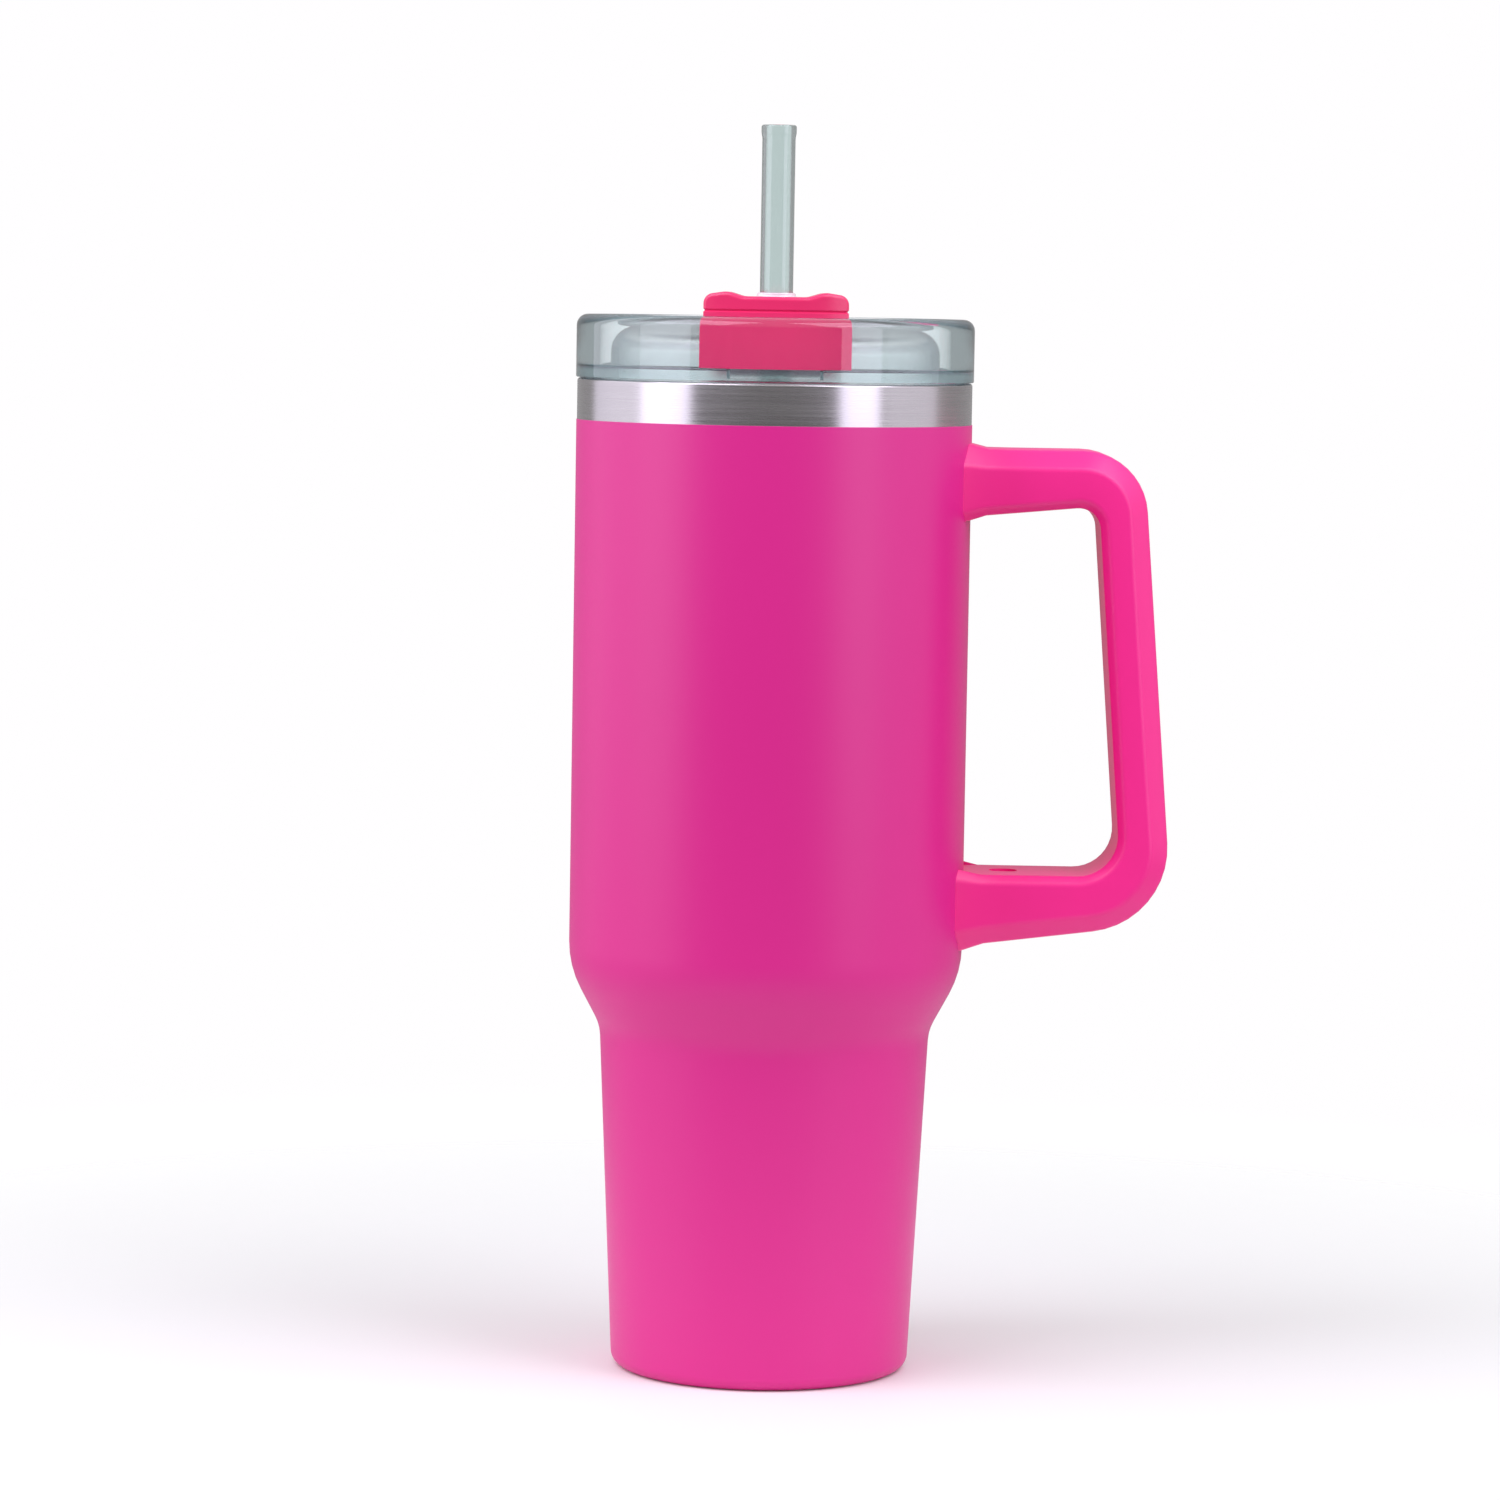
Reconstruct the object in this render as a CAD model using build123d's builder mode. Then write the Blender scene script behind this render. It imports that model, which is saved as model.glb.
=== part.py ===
from build123d import *
from math import sqrt
import os

# Insulated steel tumbler with a clear press-in lid, a turning cover, a straw and a side handle.
# Millimetres. The cup stands on z = 0 with its axis on Z, and the handle points along +X.

# Cup: a double-walled steel vessel with a straight body over a narrower, tapered foot
cup_height = 249.4
body_radius = 49.6
shoulder_height = 101.4
shoulder_drop = 14.9
shoulder_step = 8.0
foot_taper = 4.1
shoulder_round = 25.0
waist_round = 12.0
base_round = 3.5
coat_build = 0.15
bare_band = 10.3
shell_wall = 0.8
liner_wall = 0.6
vacuum_gap = 3.4
floor_gap = 3.6
rim_flare = 4.0
rim_land = 1.5

# Bottom: a welded disc with a raised middle that hides the pump-out hole
foot_ring_width = 2.0
bottom_wall = 0.8
dimple_radius = 15.0
dimple_rise = 1.5
cover_disc_wall = 0.6
pump_hole_radius = 1.5
plug_head_radius = 3.0
plug_head_height = 0.8
getter_radius = 4.0
getter_height = 1.6

# Lid: a thick clear collar, a moat inside it, and a shallow dome in the middle
lid_overhang = 0.2
seat_gap = 0.2
flange_wall = 2.6
collar_height = 13.1
collar_wall = 5.8
collar_outer_round = 2.8
collar_inner_round = 1.2
moat_width = 2.8
dome_wall = 2.0
dome_edge_rise = 7.3
dome_rise = 13.1
dome_edge_round = 5.0
skirt_depth = 13.6
skirt_wall = 2.0
gasket_room = 1.8
gasket_groove = 0.8
gasket_fit = 0.15
gasket_edge = 2.0
gasket_height = 8.0
gasket_lip = 1.2
gasket_web = 0.4
sip_width = 22.4
sip_depth = 9.0
sip_edge_gap = 3.0
pour_recess_depth = 1.8
pour_recess_round = 1.2

# Turning cover: a bar across the lid, made of a hollow base and a cap
bar_width = 35.4
bar_end_gap = 0.5
cover_gap = 0.5
cover_wall = 2.0
cover_floor = 3.0
cover_seam = 1.5
cover_stand = 5.0
ridge_height = 1.2
ridge_spacing = 23.8
trough_width = 16.0
cap_corner_drop = 0.9
cap_corner_round = 2.5
cap_wave_round = 5.0
cap_end_round = 1.0
seam_groove = 0.4
spigot_radius = 13.0
spigot_height = 1.5
turn_fit = 0.08
hub_wall = 1.8
hub_reach = 5.0
seal_gap = 0.3
hub_seal_width = 3.0
hub_seal_wall = 1.4
sip_seal_margin = 2.0
sip_seal_wall = 2.1
stem_radius = 2.0
stem_head_radius = 3.0
stem_head_height = 1.2
stem_spacing = 14.0
retainer_gap = 0.35
retainer_width = 3.0
retainer_wall = 2.2
snap_depth = 0.6
lug_reach = 4.0
lug_width = 5.0
stop_rib_wall = 1.5
stop_gap = 0.3

# Straw and the grommet that grips it on the lid's axis
straw_radius = 4.15
straw_wall = 1.0
straw_bead = 0.25
straw_bead_height = 3.0
straw_lip_round = 0.4
straw_above_cover = 42.7
straw_foot_gap = 4.0
straw_fit = 0.05
grommet_wall = 2.0
grommet_flange = 1.6
grommet_flange_wall = 1.0
grommet_lip_wall = 0.9
grommet_lip_height = 1.8
grommet_lip_round = 0.5

# Handle: a moulded channel closed by a grip strip, screwed to two welded brackets
handle_below_rim = 16.0
handle_depth = 28.0
upper_root_wall = 17.4
upper_corner_wall = 13.8
lower_foot_rise = 6.6
lower_root_wall = 19.1
lower_corner_wall = 11.7
finger_gap_top = 31.6
finger_gap_bottom = 38.8
grip_wall_top = 11.1
grip_wall_bottom = 13.5
outer_top_round = 16.5
outer_bottom_round = 21.0
inner_top_round = 5.5
inner_bottom_round = 10.0
handle_outer_edge = 4.0
handle_inner_edge = 2.0
handle_wall = 2.6
root_overlap = 6.0
bracket_reach = 16.0
bracket_width = 14.0
bracket_wall = 2.5
weld_pad_wall = 1.0
weld_pad_height = 9.0
screw_inset = 10.0
screw_radius = 2.0
screw_head_radius = 3.6
screw_head_height = 2.4
screw_bite = 3.0
screw_boss_wall = 2.6
plug_wall = 1.2
plug_inset = 0.6

# Cup places
waist_height = shoulder_height - shoulder_drop
waist_radius = body_radius - shoulder_step
base_radius = waist_radius - foot_taper
band_radius = body_radius - coat_build
liner_inset = shell_wall + vacuum_gap
mouth_radius = body_radius - liner_inset - liner_wall
liner_floor = shell_wall + bottom_wall + floor_gap
cup_floor = liner_floor + liner_wall
foot_radius = base_radius - base_round
foot_hole_radius = foot_radius - foot_ring_width

# Lid places
lid_radius = body_radius + lid_overhang
flange_z = cup_height + seat_gap
deck_z = flange_z + flange_wall
collar_top = deck_z + collar_height
collar_bore = lid_radius - collar_wall
dome_radius = collar_bore - moat_width
dome_sag = dome_rise - dome_edge_rise
dome_curve = (dome_radius**2 + dome_sag**2) / (2 * dome_sag)
dome_centre = deck_z + dome_rise - dome_curve
skirt_radius = mouth_radius - gasket_room
skirt_bore = skirt_radius - skirt_wall
skirt_z = flange_z - skirt_depth
sip_y = -(dome_radius - sip_edge_gap - sip_depth / 2)

# Cover places
straw_hole = straw_radius + straw_fit
hub_bore = straw_hole + grommet_wall
hub_radius = hub_bore + hub_wall
hub_hole = hub_radius + turn_fit
hub_z = deck_z + dome_rise - dome_wall - hub_reach
bar_radius = collar_bore - bar_end_gap
bar_z = deck_z + cover_gap
seam_z = collar_top + cover_seam
cover_top = collar_top + cover_stand
floor_offset = cover_gap + cover_floor
seal_offset = seal_gap + sip_seal_wall
hub_seal_z = deck_z + dome_rise + seal_gap
hub_seal_top = hub_seal_z + hub_seal_wall
retainer_radius = hub_radius + retainer_width
lug_radius = retainer_radius + lug_reach
retainer_top = dome_centre + sqrt((dome_curve - dome_wall) ** 2 - lug_radius**2) - retainer_gap
retainer_z = retainer_top - retainer_wall

# Handle places
handle_top = cup_height - handle_below_rim
lower_root_z = shoulder_height + lower_foot_rise
lower_top = lower_root_z + lower_root_wall
root_x = body_radius - root_overlap
inner_top = (body_radius + finger_gap_top, handle_top - upper_corner_wall)
inner_low = (body_radius + finger_gap_bottom, lower_top)
outer_top = (inner_top[0] + grip_wall_top, handle_top)
outer_low = (inner_low[0] + grip_wall_bottom, lower_top - lower_corner_wall)
screw_x = body_radius + screw_inset


def corner(section, x, y):
    """The section's corner nearest to a point."""
    return section.vertices().sort_by_distance((x, y, 0))[0]


def cup_section(inset, floor_z, top_z, foot_round):
    """Half section of the whole cup, drawn in by inset, from a floor to a top."""
    foot = (base_radius - inset, floor_z)
    waist = (waist_radius - inset, waist_height)
    shoulder = (body_radius - inset, shoulder_height)
    with BuildSketch(Plane.XZ) as section:
        with BuildLine():
            Polyline((0, floor_z), foot, waist, shoulder, (shoulder[0], top_z), (0, top_z), close=True)
        make_face()
        fillet(corner(section, *shoulder), shoulder_round)
        fillet(corner(section, *waist), waist_round)
        fillet(corner(section, *foot), foot_round)
    return section.sketch


def dome_section(offset):
    """Half section of the dome as a solid plug, grown by offset, standing on the flange's underside."""
    side = dome_radius + offset
    edge = (side, dome_centre + sqrt((dome_curve + offset) ** 2 - side**2))
    apex = (0, dome_centre + dome_curve + offset)
    with BuildSketch(Plane.XZ) as section:
        with BuildLine():
            Line((0, flange_z), (side, flange_z))
            Line((side, flange_z), edge)
            ThreePointArc(edge, dome_point(side / 2, offset), apex)
            Line(apex, (0, flange_z))
        make_face()
        fillet(corner(section, *edge), dome_edge_round + offset)
    return section.sketch


def dome_point(radius, offset):
    """A point of the dome's section at a radius, on the surface grown by offset."""
    return (radius, dome_centre + sqrt((dome_curve + offset) ** 2 - radius**2))


def handle_plate(outer, grow, width):
    """The handle's outer outline, or its finger opening, grown and made a plate of the given width."""
    if outer:
        corners = [(root_x, handle_top), outer_top, outer_low, (root_x, lower_root_z)]
        rounds = (outer_top_round, outer_bottom_round)
    else:
        corners = [(root_x, handle_top - upper_root_wall), inner_top, inner_low, (root_x, lower_top)]
        rounds = (inner_top_round, inner_bottom_round)
    with BuildPart() as plate:
        with BuildSketch(Plane.XZ.offset(-width / 2)) as outline:
            with BuildLine():
                Polyline(*corners, close=True)
            make_face()
            fillet(corner(outline, *corners[1]), rounds[0])
            fillet(corner(outline, *corners[2]), rounds[1])
            if grow:
                offset(amount=grow)
        extrude(amount=width)
    return plate.part


def outline_z(corners, x):
    """Height of the straight line between two corners at x."""
    (x0, z0), (x1, z1) = corners
    return z0 + (z1 - z0) * (x - x0) / (x1 - x0)


# ---- Cup ----

with BuildPart() as outer_shell:
    revolve(cup_section(0, 0, cup_height, base_round), axis=Axis.Z)
    hollow_section = cup_section(shell_wall, shell_wall, cup_height, base_round - shell_wall)
    revolve(hollow_section, axis=Axis.Z, mode=Mode.SUBTRACT)
    # bare band at the rim, where the powder coat stops
    with BuildSketch(Plane.XY.offset(cup_height - bare_band)):
        Circle(body_radius + coat_build)
        Circle(band_radius, mode=Mode.SUBTRACT)
    extrude(amount=bare_band, mode=Mode.SUBTRACT)
    # hole for the bottom disc, inside the foot ring
    with BuildSketch():
        Circle(foot_hole_radius)
    extrude(amount=shell_wall, mode=Mode.SUBTRACT)
outer_shell.part.label = "outer_shell"

with BuildPart() as inner_liner:
    flare_z = cup_height - rim_flare
    land_z = cup_height - rim_land
    rim_inner = band_radius - shell_wall - liner_wall
    revolve(cup_section(liner_inset, liner_floor, flare_z, base_round), axis=Axis.Z)
    hollow_section = cup_section(liner_inset + liner_wall, cup_floor, flare_z, base_round - liner_wall)
    revolve(hollow_section, axis=Axis.Z, mode=Mode.SUBTRACT)
    with BuildSketch(Plane.XZ):
        with BuildLine():
            Polyline(
                (mouth_radius, flare_z), (mouth_radius + liner_wall, flare_z),
                (rim_inner + liner_wall, land_z), (rim_inner + liner_wall, cup_height),
                (rim_inner, cup_height), (rim_inner, land_z), close=True,
            )
        make_face()
    revolve(axis=Axis.Z)
inner_liner.part.label = "inner_liner"

with BuildPart() as outer_bottom:
    disc_z = shell_wall
    with BuildSketch(Plane.XZ):
        with BuildLine():
            Polyline(
                (pump_hole_radius, disc_z + dimple_rise), (dimple_radius, disc_z + dimple_rise),
                (dimple_radius, disc_z), (foot_radius, disc_z),
                (foot_radius, disc_z + bottom_wall), (dimple_radius + bottom_wall, disc_z + bottom_wall),
                (dimple_radius + bottom_wall, disc_z + dimple_rise + bottom_wall),
                (pump_hole_radius, disc_z + dimple_rise + bottom_wall), close=True,
            )
        make_face()
    revolve(axis=Axis.Z)
outer_bottom.part.label = "outer_bottom"

with BuildPart() as vacuum_plug:
    with BuildSketch(Plane.XY.offset(disc_z + dimple_rise)):
        Circle(pump_hole_radius)
    extrude(amount=bottom_wall)
    with BuildSketch(Plane.XY.offset(disc_z + dimple_rise + bottom_wall)):
        Circle(plug_head_radius)
    extrude(amount=plug_head_height)
vacuum_plug.part.label = "vacuum_plug"

with BuildPart() as bottom_cover:
    with BuildSketch(Plane.XY.offset(disc_z + dimple_rise - cover_disc_wall)):
        Circle(dimple_radius)
    extrude(amount=cover_disc_wall)
bottom_cover.part.label = "bottom_cover"

with BuildPart() as getter:
    getter_y = (dimple_radius + foot_radius) / 2
    with BuildSketch(Plane.XY.offset(disc_z + bottom_wall)):
        with Locations((0, getter_y)):
            Circle(getter_radius)
    extrude(amount=getter_height)
    fillet(getter.edges().group_by(Axis.Z)[-1], getter_height / 3)
getter.part.label = "getter"

# ---- Handle and its fixings ----

# the body's coated outside, which trims everything that meets it
with BuildPart() as body_trim:
    with BuildSketch(Plane.XY.offset(shoulder_height)):
        Circle(body_radius)
    extrude(amount=cup_height - shoulder_height)

# each arm's heights: its finger side, its outer side, and the way from one to the other
arms = {
    "upper": (outline_z(((root_x, handle_top - upper_root_wall), inner_top), screw_x), handle_top, 1),
    "lower": (lower_top, outline_z(((root_x, lower_root_z), outer_low), screw_x), -1),
}


def upright(radius, start, end):
    """A cylinder on the screw's line between two heights."""
    with BuildPart() as pillar:
        with BuildSketch(Plane.XY.offset(min(start, end))):
            with Locations((screw_x, 0)):
                Circle(radius)
        extrude(amount=abs(end - start))
    return pillar.part


def bracket_bar(start, height, reach):
    """A bar of the bracket's width out of the body's side, between two heights."""
    with BuildPart() as bar:
        with BuildSketch(Plane.XY.offset(min(start, start + height))):
            with Locations((body_radius - root_overlap, 0)):
                Rectangle(reach + root_overlap, bracket_width, align=(Align.MIN, Align.CENTER))
        extrude(amount=abs(height))
        add(body_trim.part, mode=Mode.SUBTRACT)
    return bar.part


brackets, screws, plugs = {}, [], []
strip_bosses, strip_bores, shell_bosses, shell_bores = [], [], [], []
for side, (inner_z, outer_z, away) in arms.items():
    tab_z = (inner_z + outer_z - away * bracket_wall) / 2
    tab_far = tab_z + away * bracket_wall
    plug_z = inner_z + away * plug_inset
    head_z = plug_z + away * plug_wall
    seat_z = head_z + away * screw_head_height
    tip_z = tab_far + away * screw_bite

    with BuildPart() as bracket:
        add(bracket_bar(tab_z, away * bracket_wall, bracket_reach))
        pad_z = tab_z + away * (bracket_wall - weld_pad_height) / 2
        add(bracket_bar(pad_z, away * weld_pad_height, weld_pad_wall))
        add(upright(screw_radius, tab_z, tab_far), mode=Mode.SUBTRACT)
    brackets[side] = bracket

    screws.append(upright(screw_head_radius, head_z, seat_z) + upright(screw_radius, seat_z, tip_z))
    plugs.append(upright(screw_head_radius, plug_z, head_z))
    strip_bosses.append(upright(screw_head_radius + screw_boss_wall, inner_z + away * handle_wall / 2, tab_z))
    strip_bores.append(upright(screw_head_radius, inner_z - away * handle_wall, seat_z))
    strip_bores.append(upright(screw_radius, seat_z, tab_z))
    shell_bosses.append(upright(screw_radius + screw_boss_wall, tab_far, outer_z - away * handle_wall / 2))
    shell_bores.append(upright(screw_radius, tab_far, tip_z))

with BuildPart() as grip_strip:
    add(handle_plate(outer=False, grow=handle_wall, width=handle_depth - 2 * handle_wall))
    add(handle_plate(outer=False, grow=0, width=handle_depth), mode=Mode.SUBTRACT)
    add(body_trim.part, mode=Mode.SUBTRACT)
    add(strip_bosses)
    add(strip_bores, mode=Mode.SUBTRACT)
grip_strip.part.label = "grip_strip"

with BuildPart() as handle_shell:
    add(handle_plate(outer=True, grow=0, width=handle_depth))
    # the long edges of both sides, but not the short ones at the root
    side_edges = handle_shell.edges().filter_by(Axis.Y, reverse=True).filter_by(Axis.Z, reverse=True)
    fillet(side_edges, handle_outer_edge)
    add(handle_plate(outer=False, grow=0, width=handle_depth), mode=Mode.SUBTRACT)
    opening_edges = [edge for edge in handle_shell.edges(Select.LAST)
                     if abs(edge.center().Y) > handle_depth / 2 - handle_inner_edge / 2]
    fillet(ShapeList(opening_edges).filter_by(Axis.Z, reverse=True), handle_inner_edge)
    add(handle_plate(outer=True, grow=-handle_wall, width=handle_depth - 2 * handle_wall), mode=Mode.SUBTRACT)
    add(body_trim.part, mode=Mode.SUBTRACT)
    add(shell_bosses)
    add(shell_bores, mode=Mode.SUBTRACT)
handle_shell.part.label = "handle_shell"

upper_bracket, lower_bracket = brackets["upper"], brackets["lower"]
upper_bracket.part.label = "upper_bracket"
lower_bracket.part.label = "lower_bracket"

with BuildPart() as handle_screws:
    add(screws)
handle_screws.part.label = "handle_screws"

with BuildPart() as screw_plugs:
    add(plugs)
screw_plugs.part.label = "screw_plugs"

# ---- Lid ----

with BuildPart() as lid_body:
    # flange, collar and moat floor
    with BuildSketch(Plane.XZ) as ring:
        with BuildLine():
            Polyline(
                (dome_radius - dome_wall, flange_z), (lid_radius, flange_z), (lid_radius, collar_top),
                (collar_bore, collar_top), (collar_bore, deck_z), (dome_radius - dome_wall, deck_z),
                close=True,
            )
        make_face()
        fillet(corner(ring, lid_radius, collar_top), collar_outer_round)
        fillet(corner(ring, collar_bore, collar_top), collar_inner_round)
    revolve(axis=Axis.Z)
    # dome
    revolve(dome_section(0), axis=Axis.Z)
    revolve(dome_section(-dome_wall), axis=Axis.Z, mode=Mode.SUBTRACT)
    # skirt with the groove that holds the gasket
    with BuildSketch(Plane.XZ):
        with Locations((skirt_bore, skirt_z)):
            Rectangle(skirt_wall, skirt_depth, align=Align.MIN)
        with Locations((skirt_radius, skirt_z + gasket_edge)):
            Rectangle(gasket_groove, gasket_height, align=(Align.MAX, Align.MIN), mode=Mode.SUBTRACT)
    revolve(axis=Axis.Z)
    # ribs under the dome that stop the cover's turn
    with BuildSketch(Plane.XY.offset(retainer_z)):
        rib_y = -(lug_width / 2 + stop_gap + stop_rib_wall / 2)
        with GridLocations(2 * (retainer_radius + lug_reach / 2 + stop_gap), 0, 2, 1):
            with Locations((0, rib_y)):
                Rectangle(lug_reach, stop_rib_wall)
    extrude(amount=retainer_wall + retainer_gap + dome_wall / 2)
    # hole for the cover's hub, sip opening, and the pour recess in front of it
    with BuildSketch(Plane.XY.offset(flange_z)):
        Circle(hub_hole)
        with Locations((0, sip_y)):
            SlotOverall(sip_width, sip_depth)
    extrude(amount=dome_rise + 2 * flange_wall, mode=Mode.SUBTRACT)
    with BuildSketch(Plane.XY.offset(deck_z - pour_recess_depth)) as recess:
        Circle(collar_bore)
        Circle(dome_radius, mode=Mode.SUBTRACT)
        with Locations((0, -collar_bore)):
            Rectangle(sip_width, collar_bore, mode=Mode.INTERSECT)
        fillet(recess.vertices(), pour_recess_round)
    extrude(amount=pour_recess_depth, mode=Mode.SUBTRACT)
lid_body.part.label = "lid_body"

with BuildPart() as lid_gasket:
    groove_radius = skirt_radius - gasket_groove
    lip_radius = mouth_radius - gasket_fit
    low_z = skirt_z + gasket_edge
    high_z = low_z + gasket_height
    root_radius = skirt_radius + gasket_web
    with BuildSketch(Plane.XZ):
        with BuildLine():
            Polyline(
                (groove_radius, low_z), (root_radius, low_z), (lip_radius, low_z + gasket_lip),
                (lip_radius, low_z + 2 * gasket_lip), (root_radius, low_z + gasket_lip),
                (root_radius, high_z - 2 * gasket_lip), (lip_radius, high_z - gasket_lip),
                (lip_radius, high_z), (root_radius, high_z - gasket_lip),
                (root_radius, high_z), (groove_radius, high_z), close=True,
            )
        make_face()
    revolve(axis=Axis.Z)
lid_gasket.part.label = "lid_gasket"

# ---- Turning cover ----

# the space above the cover's floor and inside its walls
with BuildPart() as cover_hollow:
    with BuildSketch(Plane.XY.offset(bar_z)):
        Circle(dome_radius + cover_gap)
        Rectangle(bar_width - 2 * cover_wall, 2 * bar_radius, mode=Mode.INTERSECT)
    extrude(amount=seam_z - bar_z)
    revolve(dome_section(floor_offset), axis=Axis.Z, mode=Mode.SUBTRACT)

# the layer of the sip seal's pad, over the sip opening
with BuildPart() as seal_pad:
    with BuildSketch(Plane.XY.offset(deck_z)):
        with Locations((0, sip_y)):
            SlotOverall(sip_width + 2 * sip_seal_margin, sip_depth + 2 * sip_seal_margin)
    extrude(amount=dome_rise + seal_offset)
    revolve(dome_section(seal_gap), axis=Axis.Z, mode=Mode.SUBTRACT)
    revolve(dome_section(seal_offset), axis=Axis.Z, mode=Mode.INTERSECT)

# heads of the sip seal's stems, which stand on the cover's floor
with BuildPart() as stem_heads:
    with BuildSketch(Plane.XY.offset(deck_z)):
        with Locations((0, sip_y)):
            with GridLocations(stem_spacing, 0, 2, 1):
                Circle(stem_head_radius)
    extrude(amount=dome_point(-sip_y, floor_offset)[1] + stem_head_height - deck_z)
    revolve(dome_section(floor_offset), axis=Axis.Z, mode=Mode.SUBTRACT)

with BuildPart() as sip_seal:
    add(seal_pad.part)
    with BuildSketch(Plane.XY.offset(dome_point(-sip_y, seal_offset)[1] - sip_seal_wall / 2)):
        with Locations((0, sip_y)):
            with GridLocations(stem_spacing, 0, 2, 1):
                Circle(stem_radius)
    extrude(amount=sip_seal_wall / 2 + floor_offset - seal_offset + stem_head_height)
    add(stem_heads.part)
sip_seal.part.label = "sip_seal"

with BuildPart() as cover_base:
    with BuildSketch(Plane.XY.offset(bar_z)):
        Circle(bar_radius)
        Rectangle(bar_width, 2 * bar_radius, mode=Mode.INTERSECT)
    extrude(amount=seam_z - bar_z)
    chamfer(cover_base.edges().group_by(Axis.Z)[-1], seam_groove)
    revolve(dome_section(cover_gap), axis=Axis.Z, mode=Mode.SUBTRACT)
    add(cover_hollow.part, mode=Mode.SUBTRACT)
    # spigot that centres the cap, and the hollow hub below it
    with BuildSketch(Plane.XY.offset(seam_z - spigot_height)):
        Circle(spigot_radius)
    extrude(amount=2 * spigot_height)
    with BuildSketch(Plane.XY.offset(hub_z)):
        Circle(hub_radius)
    extrude(amount=seam_z - hub_z)
    with BuildSketch(Plane.XY.offset(retainer_z)):
        Circle(hub_radius)
        Circle(hub_radius - snap_depth, mode=Mode.SUBTRACT)
    extrude(amount=retainer_wall, mode=Mode.SUBTRACT)
    with BuildSketch(Plane.XY.offset(hub_seal_z)):
        Circle(hub_radius + hub_seal_width)
        Circle(hub_radius, mode=Mode.SUBTRACT)
    extrude(amount=hub_seal_top - hub_seal_z, mode=Mode.SUBTRACT)
    with BuildSketch(Plane.XY.offset(hub_z)):
        Circle(hub_bore)
    extrude(amount=cover_top - hub_z, mode=Mode.SUBTRACT)
    add(sip_seal.part, mode=Mode.SUBTRACT)
cover_base.part.label = "cover_base"

with BuildPart() as cover_cap:
    half_width, half_ridge, half_trough = bar_width / 2, ridge_spacing / 2, trough_width / 2
    ridge_top = cover_top + ridge_height
    with BuildSketch(Plane.XZ.offset(-bar_radius)) as cap_end:
        with BuildLine():
            Polyline(
                (-half_width, seam_z), (half_width, seam_z), (half_width, ridge_top - cap_corner_drop),
                (half_ridge, ridge_top), (half_trough, cover_top), (-half_trough, cover_top),
                (-half_ridge, ridge_top), (-half_width, ridge_top - cap_corner_drop), close=True,
            )
        make_face()
        for x_side in (-1, 1):
            fillet(corner(cap_end, x_side * half_width, ridge_top - cap_corner_drop), cap_corner_round)
            fillet(corner(cap_end, x_side * half_ridge, ridge_top), cap_wave_round)
            fillet(corner(cap_end, x_side * half_trough, cover_top), cap_wave_round)
    extrude(amount=2 * bar_radius)
    with BuildSketch(Plane.XY.offset(seam_z)):
        Circle(bar_radius)
    extrude(amount=ridge_top - seam_z, mode=Mode.INTERSECT)
    # the top's edges over both round ends
    end_edges = cover_cap.edges().filter_by(Axis.Y, reverse=True).filter_by(Axis.Z, reverse=True)
    fillet(end_edges.filter_by_position(Axis.Z, seam_z + seam_groove, ridge_top), cap_end_round)
    chamfer(cover_cap.edges().group_by(Axis.Z)[0], seam_groove)
    with BuildSketch(Plane.XY.offset(seam_z)):
        Circle(spigot_radius)
    extrude(amount=spigot_height, mode=Mode.SUBTRACT)
    with BuildSketch(Plane.XY.offset(seam_z)):
        Circle(hub_bore)
    extrude(amount=cover_stand, mode=Mode.SUBTRACT)
    with BuildSketch(Plane.XY.offset(cover_top - grommet_flange_wall)):
        Circle(hub_bore + grommet_flange)
    extrude(amount=grommet_flange_wall + ridge_height, mode=Mode.SUBTRACT)
cover_cap.part.label = "cover_cap"

with BuildPart() as hub_seal:
    with BuildSketch(Plane.XY.offset(hub_seal_z)):
        Circle(hub_radius + hub_seal_width)
        Circle(hub_radius, mode=Mode.SUBTRACT)
    extrude(amount=hub_seal_top - hub_seal_z)
hub_seal.part.label = "hub_seal"

with BuildPart() as cover_retainer:
    with BuildSketch(Plane.XY.offset(retainer_z)):
        Circle(retainer_radius)
        with Locations((0, lug_radius / 2)):
            Rectangle(lug_width, lug_radius)
        Circle(hub_radius - snap_depth, mode=Mode.SUBTRACT)
    extrude(amount=retainer_wall)
cover_retainer.part.label = "cover_retainer"

with BuildPart() as straw_grommet:
    grommet_z = hub_z + grommet_flange_wall
    flange_seat = cover_top - grommet_flange_wall
    lip_top = cover_top + grommet_lip_height
    with BuildSketch(Plane.XZ) as grommet_section:
        with BuildLine():
            Polyline(
                (straw_hole, grommet_z), (hub_bore, grommet_z), (hub_bore, flange_seat),
                (hub_bore + grommet_flange, flange_seat), (hub_bore + grommet_flange, cover_top),
                (straw_hole + grommet_lip_wall, cover_top), (straw_hole + grommet_lip_wall, lip_top),
                (straw_hole, lip_top), close=True,
            )
        make_face()
        fillet(corner(grommet_section, straw_hole + grommet_lip_wall, lip_top), grommet_lip_round)
    revolve(axis=Axis.Z)
straw_grommet.part.label = "straw_grommet"

# ---- Straw ----

with BuildPart() as straw:
    straw_z = cup_floor + straw_foot_gap
    straw_top = cover_top + straw_above_cover
    with BuildSketch(Plane.XZ) as straw_section:
        with Locations((straw_radius - straw_wall, straw_z)):
            Rectangle(straw_wall, straw_top - straw_z, align=Align.MIN)
        with Locations((straw_radius - straw_wall / 2, straw_top - straw_bead_height)):
            Rectangle(straw_wall / 2 + straw_bead, straw_bead_height, align=Align.MIN)
        fillet(straw_section.vertices().group_by(Axis.Y)[-1], straw_lip_round)
    revolve(axis=Axis.Z)
straw.part.label = "straw"

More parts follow.
